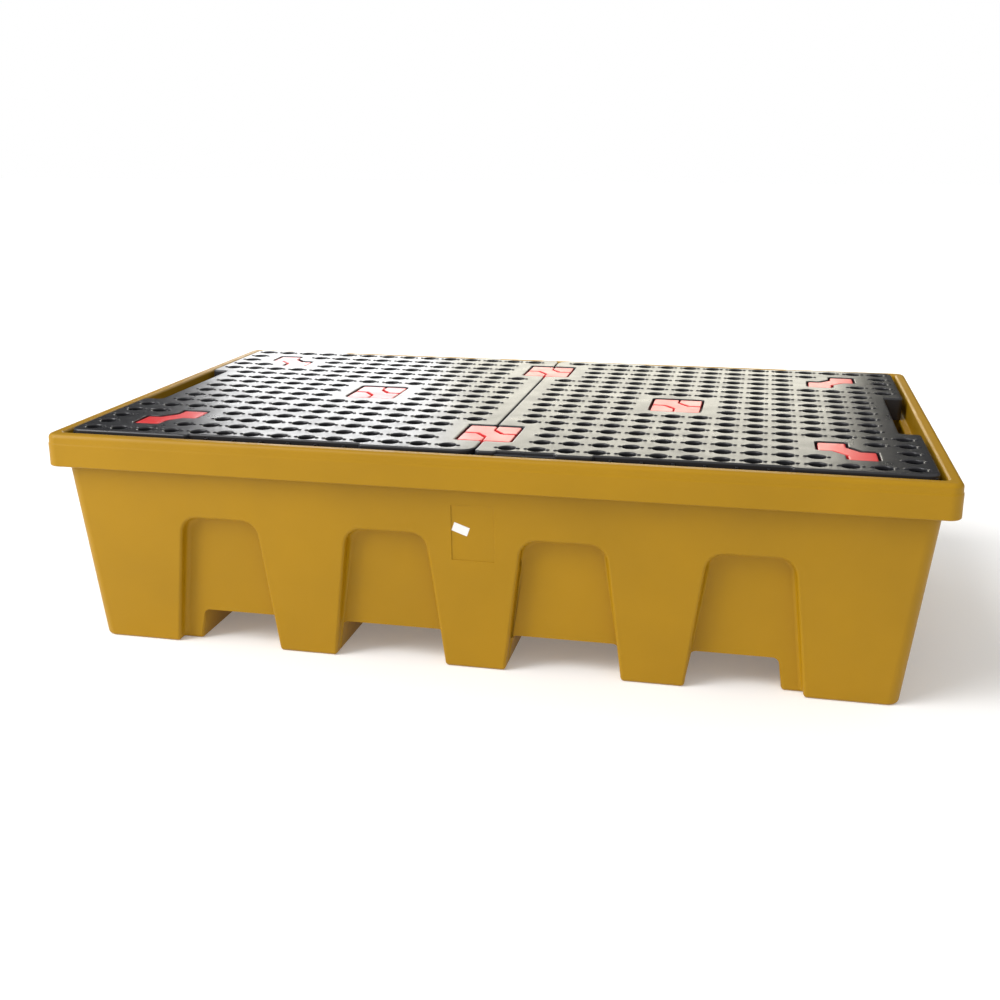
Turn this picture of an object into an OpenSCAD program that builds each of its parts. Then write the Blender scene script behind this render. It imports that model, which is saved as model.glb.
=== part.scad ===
// Spill containment pallet: a moulded sump tub carrying two lift-out grid decks.
// X runs along the length, Y from front to back, Z up.
// The origin is at floor level, in the middle of the tub.

/* [Tub] */
// Length over the rim
tub_length = 2450; // [2250:10:2950]
// Width over the rim
tub_width = 1480; // [1420:10:1800]
// Height of the rim's top above the floor
tub_height = 621; // [560:1:740]
// Thickness of the moulded skin
wall = 9; // [7:1:11]
// How far the wall stands in from the rim's outer face
rim_overhang = 38; // [34:1:44]
// Width across the top of the rim
rim_width = 38; // [32:1:40]
// Height of the rim's outer skirt
rim_depth = 93; // [60:1:110]
// Corner radius of the rim in plan
rim_radius = 35; // [20:1:60]
// Corner radius of the tub's wall in plan
body_radius = 35; // [20:1:60]
// Corner radius of the opening inside the rim
opening_radius = 15; // [8:1:30]
// How far the seat reaches in under the edges of the decks
seat_reach = 6; // [3:1:7]
// How far each long wall draws in from the rim to the floor
side_draft = 26; // [5:1:40]
// How far each short wall draws in from the rim to the floor
end_draft = 57; // [20:1:65]

/* [Feet and fork openings] */
// Height of the fork openings
fork_height = 95; // [85:1:120]
// Rounding under the roof of a fork opening
fork_radius = 18; // [8:1:30]
// Height of the arched recesses in the walls
recess_height = 388; // [300:1:430]
// Depth of the arched recesses
recess_depth = 35; // [20:1:45]
// Rounding at the top of the arched recesses
recess_radius = 48; // [20:1:52]
// Side slope of the feet, in millimetres per millimetre of height
foot_slope = 0.126; // [0.05:0.001:0.14]
// Side slope of the corner feet towards the recess
corner_slope = 0.12; // [0.05:0.001:0.14]
// Half width of the centre feet at the floor
centre_foot_half = 85; // [75:1:95]
// Half width of the intermediate feet at the floor
mid_foot_half = 85; // [75:1:95]
// How far an intermediate foot stands outboard of its pillar
mid_foot_offset = 9; // [0:1:12]
// Distance from a corner pillar to the fork opening beside it
corner_foot_inset = 131; // [110:1:140]
// Extra width of the outer recess over its fork opening
corner_recess_step = 58; // [30:1:65]
// Half depth of the middle row of feet
middle_row_half = 140; // [100:1:150]
// Distance from a corner pillar to the cross opening beside it
row_foot_inset = 80; // [70:1:90]

/* [Label panel] */
// Width of the sunk panel on the front wall
panel_width = 118; // [60:1:150]
// Height of the sunk panel
panel_height = 157; // [60:1:180]
// Height of the panel's lower edge above the floor
panel_base = 321; // [280:1:340]
// Depth of the sunk panel
panel_sink = 2; // [1:0.5:4]
// Width of the paper sticker
sticker_width = 45; // [30:1:60]
// Height of the paper sticker
sticker_height = 25; // [15:1:40]
// Thickness of the paper sticker
sticker_thickness = 0.4; // [0.2:0.1:1]
// Place of the sticker's middle along X
sticker_x = -33; // [-50:1:20]
// Height of the sticker's middle
sticker_z = 410; // [380:1:440]
// Tilt of the sticker in degrees
sticker_tilt = -20; // [-45:1:45]

/* [Decks] */
// How far the deck's top stands above the rim
deck_proud = 6; // [3:1:20]
// Depth of a deck from its top to its lower edge
deck_depth = 70; // [60:1:80]
// Thickness of the deck's top
deck_skin = 10; // [6:1:12]
// Gap between a deck's edge and the rim
deck_gap = 15; // [8:1:16]
// Gap between the two decks
seam_gap = 5; // [3:1:10]
// Thickness of the ribs and the edge under a deck
rib = 8; // [5:1:10]
// Diameter of the drain holes
hole_diameter = 46; // [30:1:50]
// Distance between neighbouring drain holes
hole_pitch = 80; // [76:1:84]
// Distance from the seam's middle to the first column of holes
first_hole = 81.4; // [78:0.1:90]
// Least distance from the last column or row to the deck's edge
edge_margin = 45; // [40:1:48]
// Corner radius of a deck at the rim
deck_corner = 30; // [15:1:40]
// Corner radius of a deck at one end of the seam
seam_corner_large = 40; // [20:1:45]
// Corner radius of a deck at the other end of the seam
seam_corner_small = 15; // [5:1:30]
// Depth of the hand notch in the short edge
hand_notch_depth = 58; // [40:1:62]
// Half length of the hand notch
hand_notch_half = 248; // [200:1:280]
// Depth of the notches in the long edges
edge_notch_depth = 14; // [6:1:18]
// Distance from the seam's middle to the long edge's notch
edge_notch_start = 318; // [250:1:350]
// Length of the long edge's notch
edge_notch_length = 497; // [300:1:520]
// Rounding in the corners of the notches
notch_radius = 12; // [4:1:13]
// Depth of the stepped finger rebate near the seam
rebate_sink = 8; // [4:1:9]
// Width of the rebate across the edge
rebate_width = 14; // [8:1:18]
// Distance from the seam's middle to the rebate
rebate_start = 60; // [50:1:80]
// Length of the rebate
rebate_length = 155; // [60:1:180]

/* [Clips and pillars] */
// Width of one clip pad
pad_width = 74; // [60:1:76]
// Length of one clip pad
pad_length = 88; // [70:1:90]
// Width of the diagonal neck between two pads, along X
neck_x = 36; // [24:1:40]
// Width of the diagonal neck between two pads, along Y
neck_y = 44; // [30:1:50]
// Thickness of a clip's plate
clip_thickness = 15; // [10:1:16]
// Gap around a clip in its pocket
clip_gap = 6; // [3:1:8]
// Depth of a clip pocket
pocket_depth = 17; // [16:1:20]
// Thickness of a pocket's floor
pocket_floor = 10; // [8:1:12]
// Thickness of the wall round a pocket
pocket_wall = 8; // [6:1:10]
// Width of the grooves in a square clip
groove_width = 5; // [3:1:8]
// Depth of the grooves in a square clip
groove_depth = 8; // [4:1:9]
// Width of a clip's prong
prong_width = 20; // [12:1:22]
// Thickness of a clip's prong
prong_thickness = 12; // [8:1:14]
// Length of a clip's prong below its plate
prong_length = 48; // [36:1:60]
// Clearance round a prong in its slot
prong_gap = 1; // [0.5:0.1:2]
// Distance of a square clip's prongs from its middle
prong_offset = 26; // [24:1:28]
// Distance of a corner clip's prongs from its middle along X
corner_prong_x = 17; // [14:1:18]
// Distance of a corner clip's prongs from its middle along Y
corner_prong_y = 24; // [20:1:26]
// Outer diameter of a support pillar
pillar_diameter = 110; // [100:1:116]
// Wall of a support pillar
pillar_wall = 7; // [5:1:9]
// Thickness of a pillar's head
pillar_head = 10; // [8:1:14]

/* [Hidden] */

// Far enough to cut clean through the whole tub
through = 4000;
// Overrun of a cutting tool past a face
over = 20;

// Heights
rim_base = tub_height - rim_depth;
deck_top = tub_height + deck_proud;
ledge_top = deck_top - deck_depth;
pocket_base = deck_top - pocket_depth;
pillar_top = pocket_base - pocket_floor;

// Half sizes of the opening inside the rim
opening_x = tub_length / 2 - rim_width;
opening_y = tub_width / 2 - rim_width;

// Outer edges of the decks
deck_x = opening_x - deck_gap;
deck_y = opening_y - deck_gap;

// Hole grid of one deck: columns count out from the seam, rows from the middle
columns = floor((deck_x - edge_margin - first_hole) / hole_pitch) + 1;
half_rows = floor((deck_y - edge_margin) / hole_pitch);

// Grid places of the clips
corner_column = columns - 3;
clip_row = half_rows - 2;
centre_column = floor((columns - 4) / 2);
corner_x = column_x(corner_column);
centre_x = column_x(centre_column);
clip_y = clip_row * hole_pitch;

// Edges of the feet at floor level
mid_foot_inner = centre_x + mid_foot_offset - mid_foot_half;
mid_foot_outer = centre_x + mid_foot_offset + mid_foot_half;
corner_foot_inner = corner_x - corner_foot_inset;
row_foot_inner = clip_y - row_foot_inset;

// Leans of the walls away from vertical
side_lean = atan(side_draft / rim_base);
end_lean = atan(end_draft / rim_base);

// Places of the prongs in each kind of clip
square_prongs = [[-prong_offset, 0], [prong_offset, 0]];
corner_prongs = [[-corner_prong_x, -corner_prong_y], [corner_prong_x, corner_prong_y]];

function column_x(column) = first_hole + column * hole_pitch;

// Half sizes of the tub's outer wall at a height
function half_x(z) = tub_length / 2 - rim_overhang - end_draft * (rim_base - z) / rim_base;
function half_y(z) = tub_width / 2 - rim_overhang - side_draft * (rim_base - z) / rim_base;

// Points of an arc about (x, y)
function arc(x, y, r, from, to, steps = 8) =
    [for (i = [0:steps]) let (a = from + (to - from) * i / steps) [x + r * cos(a), y + r * sin(a)]];

// Rectangle from (x0, y0) to (x1, y1) with one radius per corner, anticlockwise from (x0, y0)
function rounded(x0, y0, x1, y1, r) = concat(
    arc(x0 + r[0], y0 + r[0], r[0], 180, 270),
    arc(x1 - r[1], y0 + r[1], r[1], 270, 360),
    arc(x1 - r[2], y1 - r[2], r[2], 0, 90),
    arc(x0 + r[3], y1 - r[3], r[3], 90, 180)
);

// Doorway outline with sloping sides, made larger all round by grow
function doorway(x0, x1, top, slope0, slope1, radius, grow) =
    let (
        left = x0 - grow * sqrt(1 + slope0 * slope0),
        right = x1 + grow * sqrt(1 + slope1 * slope1),
        r = radius + grow,
        spring = top + grow - r,
        reach0 = r * sqrt(1 + slope0 * slope0),
        reach1 = r * sqrt(1 + slope1 * slope1)
    )
    concat(
        [[left - slope0 * over, -over], [right + slope1 * over, -over]],
        arc(right - slope1 * spring - reach1, spring, r, atan(slope1), 90),
        arc(left + slope0 * spring + reach0, spring, r, 90, 180 - atan(slope0))
    );

// Outline of a clip made of two pads on a diagonal, made larger all round by grow
function diagonal_clip(grow) =
    let (
        w = pad_width + grow,
        l = pad_length + grow,
        slant = sqrt(neck_x * neck_x + neck_y * neck_y),
        waist_y = neck_y + grow * (slant - neck_y) / neck_x,
        waist_x = neck_x + grow * (slant - neck_x) / neck_y
    )
    [
        [-w, -l], [grow, -l], [grow, -waist_y], [waist_x, -grow], [w, -grow],
        [w, l], [-grow, l], [-grow, waist_y], [-waist_x, grow], [-w, grow]
    ];

// Whether the grid has a drain hole at a column and row
function near_joint(column, row) = column == 0 && abs(abs(row) - clip_row) <= 1;
function near_centre(column, row) = abs(column - centre_column) <= 1 && abs(row) <= 1;
function near_corner(column, row) =
    let (dc = column - corner_column, dr = abs(row) - clip_row)
    abs(dc) <= 1 && abs(dr) <= 1 && abs(dc - dr) < 2;
function in_hand_notch(column, row) =
    column_x(column) + hole_pitch / 2 > deck_x - hand_notch_depth
    && abs(row) * hole_pitch < hand_notch_half + rib;
function has_hole(column, row) =
    !near_joint(column, row) && !near_centre(column, row)
    && !near_corner(column, row) && !in_hand_notch(column, row);

// Runs its children upright on the front wall's line, facing outwards
module on_wall(half, lean) {
    translate([0, -half, 0]) rotate([90 + lean, 0, 0]) children();
}

// Solid of the tub's drafted wall, set in by inset, between two heights
module drafted_block(inset, z0, z1) {
    x0 = half_x(z0) - inset;
    y0 = half_y(z0) - inset;
    r = body_radius - inset;
    translate([0, 0, z0])
        linear_extrude(height = z1 - z0, slices = 1,
            scale = [(half_x(z1) - inset) / x0, (half_y(z1) - inset) / y0])
            polygon(rounded(-x0, -y0, x0, y0, [r, r, r, r]));
}

// Upright block with rounded corners, given by its half sizes
module rounded_block(x, y, r, z0, z1) {
    translate([0, 0, z0]) linear_extrude(height = z1 - z0)
        polygon(rounded(-x, -y, x, y, [r, r, r, r]));
}

// One arched recess in a long wall, or in a short wall when turned; its back leans with the wall
module recess(x0, x1, outer_slope, half, lean, grow) {
    multmatrix([[1, 0, 0, 0], [0, 1, -tan(lean), recess_depth - half], [0, 0, 1, 0]])
        rotate([90, 0, 0]) translate([0, 0, -grow]) linear_extrude(height = through / 10)
            polygon(doorway(x0, x1, recess_height, foot_slope, outer_slope, recess_radius, grow));
}

// One fork opening through the tub, along Y
module fork_opening(x0, x1, grow) {
    rotate([90, 0, 0]) translate([0, 0, -through / 2]) linear_extrude(height = through)
        polygon(doorway(x0, x1, fork_height, foot_slope, foot_slope, fork_radius, grow));
}

// All recesses and fork openings, made larger by grow to leave the skin behind them
module hollows(grow) {
    for (turn = [0, 180]) rotate([0, 0, turn]) {
        for (side = [0, 1]) mirror([side, 0, 0]) {
            recess(centre_foot_half, mid_foot_inner, foot_slope, half_y(0), side_lean, grow);
            recess(mid_foot_outer, corner_foot_inner + corner_recess_step, corner_slope,
                half_y(0), side_lean, grow);
        }
    }
    for (side = [0, 1]) mirror([side, 0, 0]) {
        fork_opening(centre_foot_half, mid_foot_inner, grow);
        fork_opening(mid_foot_outer, corner_foot_inner, grow);
    }
    for (turn = [90, 270]) rotate([0, 0, turn]) {
        for (side = [0, 1]) mirror([side, 0, 0])
            recess(middle_row_half, row_foot_inner, foot_slope, half_x(0), end_lean, grow);
    }
    rotate([0, 0, 90]) {
        for (side = [0, 1]) mirror([side, 0, 0])
            fork_opening(middle_row_half, row_foot_inner, grow);
    }
}

// Down-turned lip round the top of the tub
module lip() {
    difference() {
        rounded_block(tub_length / 2, tub_width / 2, rim_radius, rim_base, tub_height);
        rounded_block(tub_length / 2 - wall, tub_width / 2 - wall, rim_radius - wall,
            rim_base - over, tub_height - wall);
    }
}

// Space inside the tub: the sump, its hollow feet and the seat for the decks
module sump_space() {
    difference() {
        drafted_block(wall, wall, ledge_top - wall);
        hollows(wall);
    }
    rounded_block(deck_x - seat_reach, deck_y - seat_reach, opening_radius,
        ledge_top - wall - 1, ledge_top + 1);
    rounded_block(opening_x, opening_y, opening_radius, ledge_top, tub_height + over);
}

module tub() {
    color([0.93, 0.68, 0.12]) difference() {
        union() {
            difference() {
                drafted_block(0, 0, ledge_top);
                hollows(0);
            }
            rounded_block(opening_x + wall, opening_y + wall, opening_radius + wall,
                ledge_top - wall, tub_height);
            lip();
        }
        sump_space();
        on_wall(half_y(0), side_lean) translate([-panel_width / 2, panel_base, -panel_sink])
            cube([panel_width, panel_height, over]);
    }
}

module label_sticker() {
    color("white") on_wall(half_y(0), side_lean)
        translate([sticker_x, sticker_z, -panel_sink]) rotate([0, 0, sticker_tilt])
            translate([-sticker_width / 2, -sticker_height / 2, 0])
                cube([sticker_width, sticker_height, sticker_thickness]);
}

// Plan of a deck on the +X side, with its notches
module deck_outline() {
    difference() {
        polygon(rounded(seam_gap / 2, -deck_y, deck_x, deck_y,
            [seam_corner_small, deck_corner, deck_corner, seam_corner_large]));
        polygon(rounded(deck_x - hand_notch_depth, -hand_notch_half, deck_x + over, hand_notch_half,
            notch_radius * [1, 1, 1, 1]));
        for (side = [0, 1]) mirror([0, side, 0])
            polygon(rounded(edge_notch_start, deck_y - edge_notch_depth,
                edge_notch_start + edge_notch_length, deck_y + over, notch_radius * [1, 1, 1, 1]));
    }
}

module drain_holes() {
    for (column = [0:columns - 1])
        for (row = [-half_rows:half_rows])
            if (has_hole(column, row))
                translate([column_x(column), row * hole_pitch]) circle(d = hole_diameter, $fn = 48);
}

// Square cell between the ribs, clipped to the deck's edges
module cell(x0, x1, y0, y1) {
    left = max(x0 + rib / 2, seam_gap / 2 + rib);
    right = min(x1 - rib / 2, deck_x - rib);
    low = max(y0 + rib / 2, -deck_y + edge_notch_depth + rib);
    high = min(y1 - rib / 2, deck_y - edge_notch_depth - rib);
    translate([left, low]) square([right - left, high - low]);
}

// Cells under the deck: one per drain hole and one large cell under each clip
module cells() {
    half = hole_pitch / 2;
    clear = 3 * half;
    for (column = [0:columns - 1])
        for (row = [-half_rows:half_rows])
            if (!in_hand_notch(column, row))
                cell(column == 0 ? 0 : column_x(column) - half, column_x(column) + half,
                    row * hole_pitch - half, row * hole_pitch + half);
    cell(centre_x - clear, centre_x + clear, -clear, clear);
    for (side = [-1, 1]) {
        cell(corner_x - clear, corner_x + clear, side * clip_y - clear, side * clip_y + clear);
        translate([0, side * clip_y - clear + rib / 2])
            square([column_x(0) + half - rib / 2, 2 * clear - rib]);
    }
}

// Places of the five clips on the +X deck's plan: the square ones, then the corner ones
module at_square_clips() {
    translate([centre_x, 0]) children();
    for (side = [-1, 1]) translate([0, side * clip_y]) children();
}

module at_corner_clips() {
    for (side = [0, 1]) mirror([0, side, 0]) translate([corner_x, clip_y]) children();
}

module square_outline(grow) {
    w = pad_width + grow;
    l = pad_length + grow;
    translate([-w, -l]) square([2 * w, 2 * l]);
}

module prong_outlines(places, grow) {
    w = prong_width + 2 * grow;
    t = prong_thickness + 2 * grow;
    for (place = places) translate([place[0] - w / 2, place[1] - t / 2]) square([w, t]);
}

// Deck on the +X side; the deck on the other side is the same moulding turned half a turn
module deck_panel() {
    difference() {
        union() {
            translate([0, 0, deck_top - deck_skin]) linear_extrude(height = deck_skin)
                difference() {
                    deck_outline();
                    drain_holes();
                }
            translate([0, 0, ledge_top]) linear_extrude(height = deck_depth - deck_skin)
                difference() {
                    deck_outline();
                    cells();
                }
            translate([0, 0, pillar_top]) linear_extrude(height = pocket_depth + pocket_floor)
                intersection() {
                    deck_outline();
                    union() {
                        at_square_clips() square_outline(clip_gap + pocket_wall);
                        at_corner_clips() polygon(diagonal_clip(clip_gap + pocket_wall));
                    }
                }
        }
        translate([0, 0, pocket_base]) linear_extrude(height = pocket_depth + over) {
            at_square_clips() square_outline(clip_gap);
            at_corner_clips() polygon(diagonal_clip(clip_gap));
        }
        translate([0, 0, pillar_top - over]) linear_extrude(height = pocket_floor + 2 * over) {
            at_square_clips() prong_outlines(square_prongs, prong_gap);
            at_corner_clips() prong_outlines(corner_prongs, prong_gap);
        }
        translate([rebate_start, -deck_y - over, deck_top - rebate_sink])
            cube([rebate_length, rebate_width + over, rebate_sink + over]);
    }
}

module deck_right() {
    color([0.16, 0.16, 0.17]) deck_panel();
}

module deck_left() {
    color([0.16, 0.16, 0.17]) rotate([0, 0, 180]) deck_panel();
}

// Two prongs below a clip's plate
module prongs(places) {
    translate([0, 0, -prong_length]) linear_extrude(height = prong_length)
        prong_outlines(places, 0);
}

// Groove round one loose pad of a square clip, from the edge's middle to the other edge's middle
module pad_groove() {
    w = groove_width;
    slant = sqrt(neck_x * neck_x + neck_y * neck_y);
    translate([-w / 2, neck_y]) square([w, pad_length]);
    translate([neck_x, -w / 2]) square([pad_width, w]);
    translate([0, neck_y]) rotate(-atan(neck_y / neck_x)) translate([-w / 2, -w / 2])
        square([slant + w, w]);
}

// Square clip, its plate's underside at z = 0
module square_clip() {
    notch = groove_width + 3;
    color([0.86, 0.2, 0.2]) {
        difference() {
            linear_extrude(height = clip_thickness) difference() {
                polygon(rounded(-pad_width, -pad_length, pad_width, pad_length, [8, 8, 8, 8]));
                for (side = [-1, 1])
                    translate([-notch / 2, side * pad_length - notch]) square([notch, 2 * notch]);
            }
            translate([0, 0, clip_thickness - groove_depth]) linear_extrude(height = over)
                for (turn = [0, 180]) rotate(turn) pad_groove();
        }
        prongs(square_prongs);
    }
}

// Clip of two pads on a diagonal, its plate's underside at z = 0
module corner_clip() {
    color([0.86, 0.2, 0.2]) {
        linear_extrude(height = clip_thickness) polygon(diagonal_clip(0));
        prongs(corner_prongs);
    }
}

// Round post with a slotted head, standing on a foot's floor
module pillar(places) {
    height = pillar_top - wall;
    color([0.2, 0.2, 0.21]) difference() {
        cylinder(d = pillar_diameter, h = height, $fn = 64);
        translate([0, 0, -1])
            cylinder(d = pillar_diameter - 2 * pillar_wall, h = height - pillar_head + 1, $fn = 64);
        translate([0, 0, height - pillar_head - over])
            linear_extrude(height = pillar_head + 2 * over) prong_outlines(places, prong_gap);
    }
}

module place_clip(x, y) {
    translate([x, y, pocket_base]) children();
}

module place_pillar(x, y) {
    translate([x, y, wall]) children();
}

// A corner's pieces are mirrored to face that corner
module face_corner(x, y) {
    mirror([x < 0 ? 1 : 0, 0, 0]) mirror([0, y < 0 ? 1 : 0, 0]) children();
}

module joint_clip_front() { place_clip(0, -clip_y) square_clip(); }
module joint_clip_rear() { place_clip(0, clip_y) square_clip(); }
module centre_clip_left() { place_clip(-centre_x, 0) square_clip(); }
module centre_clip_right() { place_clip(centre_x, 0) square_clip(); }
module corner_clip_at(x, y) { face_corner(x, y) place_clip(corner_x, clip_y) corner_clip(); }
module corner_pillar_at(x, y) { face_corner(x, y) place_pillar(corner_x, clip_y) pillar(corner_prongs); }
module joint_pillar_front() { place_pillar(0, -clip_y) pillar(square_prongs); }
module joint_pillar_rear() { place_pillar(0, clip_y) pillar(square_prongs); }
module centre_pillar_left() { place_pillar(-centre_x, 0) pillar(square_prongs); }
module centre_pillar_right() { place_pillar(centre_x, 0) pillar(square_prongs); }

tub();
label_sticker();
deck_left();
deck_right();
joint_clip_front();
joint_clip_rear();
centre_clip_left();
centre_clip_right();
corner_clip_at(-1, -1);  // corner_clip_front_left
corner_clip_at(1, -1);  // corner_clip_front_right
corner_clip_at(-1, 1);  // corner_clip_rear_left
corner_clip_at(1, 1);  // corner_clip_rear_right
joint_pillar_front();
joint_pillar_rear();
centre_pillar_left();
centre_pillar_right();
corner_pillar_at(-1, -1);  // corner_pillar_front_left
corner_pillar_at(1, -1);  // corner_pillar_front_right
corner_pillar_at(-1, 1);  // corner_pillar_rear_left
corner_pillar_at(1, 1);  // corner_pillar_rear_right
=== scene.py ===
# %% [markdown]
# # A spill containment pallet
#
# The real object is a yellow tub, moulded in one piece, that catches whatever leaks from the
# containers standing on top. Two black grid decks lie in its rim, and eight red clips pin the
# decks to pillars inside. The CAD model already fixes every size, so this lesson loads it first
# and builds softer, better finished surfaces in the same place.

# %% Load the frame
import math

import bmesh
import bpy
import numpy as np
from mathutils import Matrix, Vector
from mathutils.geometry import delaunay_2d_cdt


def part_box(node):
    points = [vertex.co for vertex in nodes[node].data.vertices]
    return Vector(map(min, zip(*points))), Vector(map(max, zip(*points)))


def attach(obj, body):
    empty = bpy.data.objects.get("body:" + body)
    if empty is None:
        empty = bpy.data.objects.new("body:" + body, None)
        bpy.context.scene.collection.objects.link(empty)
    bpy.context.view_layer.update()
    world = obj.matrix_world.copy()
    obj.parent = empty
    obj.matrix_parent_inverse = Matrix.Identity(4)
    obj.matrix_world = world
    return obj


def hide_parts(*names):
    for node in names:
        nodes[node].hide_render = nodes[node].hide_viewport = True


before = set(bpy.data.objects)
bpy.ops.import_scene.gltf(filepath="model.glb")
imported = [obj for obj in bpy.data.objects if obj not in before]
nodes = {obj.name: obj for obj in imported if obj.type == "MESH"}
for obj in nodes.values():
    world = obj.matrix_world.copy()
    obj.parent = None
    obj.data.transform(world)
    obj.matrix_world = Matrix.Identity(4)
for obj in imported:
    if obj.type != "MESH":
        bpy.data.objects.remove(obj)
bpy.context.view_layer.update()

# %% [markdown]
# ## Sizes
#
# Places are read from the CAD pieces. What the CAD boxes don't say, such as the spacing of the
# drain holes or how soft an edge is, gets a named value here. Everything is in metres.

# %% Sizes from the frame
tub_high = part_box("tub")[1]
deck_low, deck_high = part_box("deck_right")
RIM_X = tub_high[0]
RIM_Y = tub_high[1]
RIM_TOP = tub_high[2]
DECK_IN = deck_low[0]
DECK_OUT = deck_high[0]
DECK_Y = deck_high[1]
DECK_TOP = deck_high[2]
DECK_BASE = deck_low[2]
WALL = 0.009
RIM_WIDTH = 0.038
RIM_DEPTH = 0.093
RIM_RADIUS = 0.035
OVERHANG = 0.038
BODY_RADIUS = 0.035
OPENING_RADIUS = 0.015
SEAT_REACH = 0.006
print("rim", round(2 * RIM_X, 3), "x", round(2 * RIM_Y, 3), "deck top", round(DECK_TOP, 3))

# %% [markdown]
# ## Drawing helpers
#
# Moulded plastic has no sharp edges. The simplest way to give every edge a clean round is to
# draw each outline as a closed loop of points, and to stack copies of that loop: each copy a
# little lower and a little wider, following a quarter circle. `Shell` collects such loops, joins
# neighbours with quads and closes flat areas with a constrained triangulation, which can leave
# holes in a flat area without any boolean.

# %% Loops of points
def arc_points(cx, cy, radius, start, stop, steps):
    angles = np.radians(np.linspace(start, stop, steps + 1))
    return [(cx + radius * math.cos(a), cy + radius * math.sin(a)) for a in angles]


def rounded_rect(half_x, half_y, radius, steps=10):
    """Anticlockwise loop round the origin."""
    x, y = half_x - radius, half_y - radius
    loop = []
    for sx, sy, start in ((1, 1, 0), (-1, 1, 90), (-1, -1, 180), (1, -1, 270)):
        loop += arc_points(sx * x, sy * y, radius, start, start + 90, steps)
    return loop


def soften(corners, steps=6):
    """Loop through corners given as (x, y, radius), with an arc at each one."""
    loop = []
    count = len(corners)
    for i, (x, y, radius) in enumerate(corners):
        here = Vector((x, y))
        back = (Vector(corners[i - 1][:2]) - here).normalized()
        ahead = (Vector(corners[(i + 1) % count][:2]) - here).normalized()
        half = back.angle(ahead) / 2
        centre = here + (back + ahead).normalized() * (radius / math.sin(half))
        first = here + back * (radius / math.tan(half)) - centre
        last = here + ahead * (radius / math.tan(half)) - centre
        a0 = math.atan2(first.y, first.x)
        a1 = math.atan2(last.y, last.x)
        turn = (a1 - a0 + math.pi) % (2 * math.pi) - math.pi
        for k in range(steps + 1):
            a = a0 + turn * k / steps
            loop.append((centre.x + radius * math.cos(a), centre.y + radius * math.sin(a)))
    return loop


def inset(loop, distance):
    """Moves an anticlockwise loop inwards, or outwards where distance is negative."""
    points = np.array(loop)
    edge = np.roll(points, -1, axis=0) - points
    edge /= np.linalg.norm(edge, axis=1)[:, None]
    normal = np.stack([-edge[:, 1], edge[:, 0]], axis=1)
    both = normal + np.roll(normal, 1, axis=0)
    both /= (both * both).sum(axis=1)[:, None] / 2
    return [tuple(p) for p in points + both * distance]


def moved(loop, dx, dy):
    return [(x + dx, y + dy) for x, y in loop]


def turned(loop):
    """The same loop after half a turn about the origin."""
    return [(-x, -y) for x, y in loop]


def flipped(loop, sx, sy):
    """The same loop mirrored, and still anticlockwise."""
    mirrored = [(x * sx, y * sy) for x, y in loop]
    return mirrored if sx * sy > 0 else mirrored[::-1]


def rounding(radius, top, steps=4, outward=0.0):
    """Levels (inset, height) of a quarter round that ends at inset 0."""
    levels = []
    for k in range(steps + 1):
        a = math.pi / 2 * k / steps
        levels.append((radius * (1 - math.sin(a)) - outward, top - radius * (1 - math.cos(a))))
    return levels


# %% A shell built from loops
def inside(point, loop):
    x, y = point
    hit = False
    for (x0, y0), (x1, y1) in zip(loop, loop[1:] + loop[:1]):
        if (y0 > y) != (y1 > y) and x < (x1 - x0) * (y - y0) / (y1 - y0) + x0:
            hit = not hit
    return hit


class Shell:
    """Closed skins made of stacked loops."""

    def __init__(self):
        self.points = []
        self.faces = []

    def loop(self, outline, z):
        start = len(self.points)
        self.points += [(x, y, z) for x, y in outline]
        return list(range(start, len(self.points)))

    def strip(self, a, b):
        n = len(a)
        for i in range(n):
            j = (i + 1) % n
            self.faces.append((a[i], a[j], b[j], b[i]))

    def stack(self, outline, levels):
        """Loops at each (inset, height), joined one to the next. Gives the first and the last."""
        rows = [self.loop(inset(outline, d), z) for d, z in levels]
        for a, b in zip(rows, rows[1:]):
            self.strip(a, b)
        return rows[0], rows[-1]

    def sheet(self, outer, holes=()):
        """Flat area inside one loop and outside the others."""
        rings = [outer] + list(holes)
        flat = [[self.points[i][:2] for i in ring] for ring in rings]
        coords, edges, ring_of, ids = [], [], [], []
        for number, ring in enumerate(rings):
            base = len(coords)
            coords += [Vector(p) for p in flat[number]]
            ids += ring
            ring_of += [number] * len(ring)
            edges += [(base + i, base + (i + 1) % len(ring)) for i in range(len(ring))]
        _, _, faces, origin, _, _ = delaunay_2d_cdt(coords, edges, [], 0, 1e-7)
        for face in faces:
            corners = [origin[v][0] for v in face]
            owners = {ring_of[c] for c in corners}
            if len(owners) == 1:
                owner = owners.pop()
                middle = sum((coords[c] for c in corners), Vector((0, 0))) / 3
                if inside(middle, flat[owner]) != (owner == 0):
                    continue
            self.faces.append(tuple(ids[c] for c in corners))

    def closed(self, outline, levels):
        """A solid: stacked loops with a flat sheet at each end."""
        top, base = self.stack(outline, levels)
        self.sheet(top)
        self.sheet(base)

    def build(self, name):
        mesh = bpy.data.meshes.new(name)
        mesh.from_pydata(self.points, [], self.faces)
        return finished(name, mesh)


def evaluated(carrier):
    """Plain mesh of an object with its modifiers applied; the object itself is removed."""
    depsgraph = bpy.context.evaluated_depsgraph_get()
    plain = bpy.data.meshes.new_from_object(carrier.evaluated_get(depsgraph))
    bpy.data.objects.remove(carrier)
    return plain


def placed(name, mesh):
    made = bpy.data.objects.new(name, mesh)
    bpy.context.scene.collection.objects.link(made)
    return made


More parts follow.
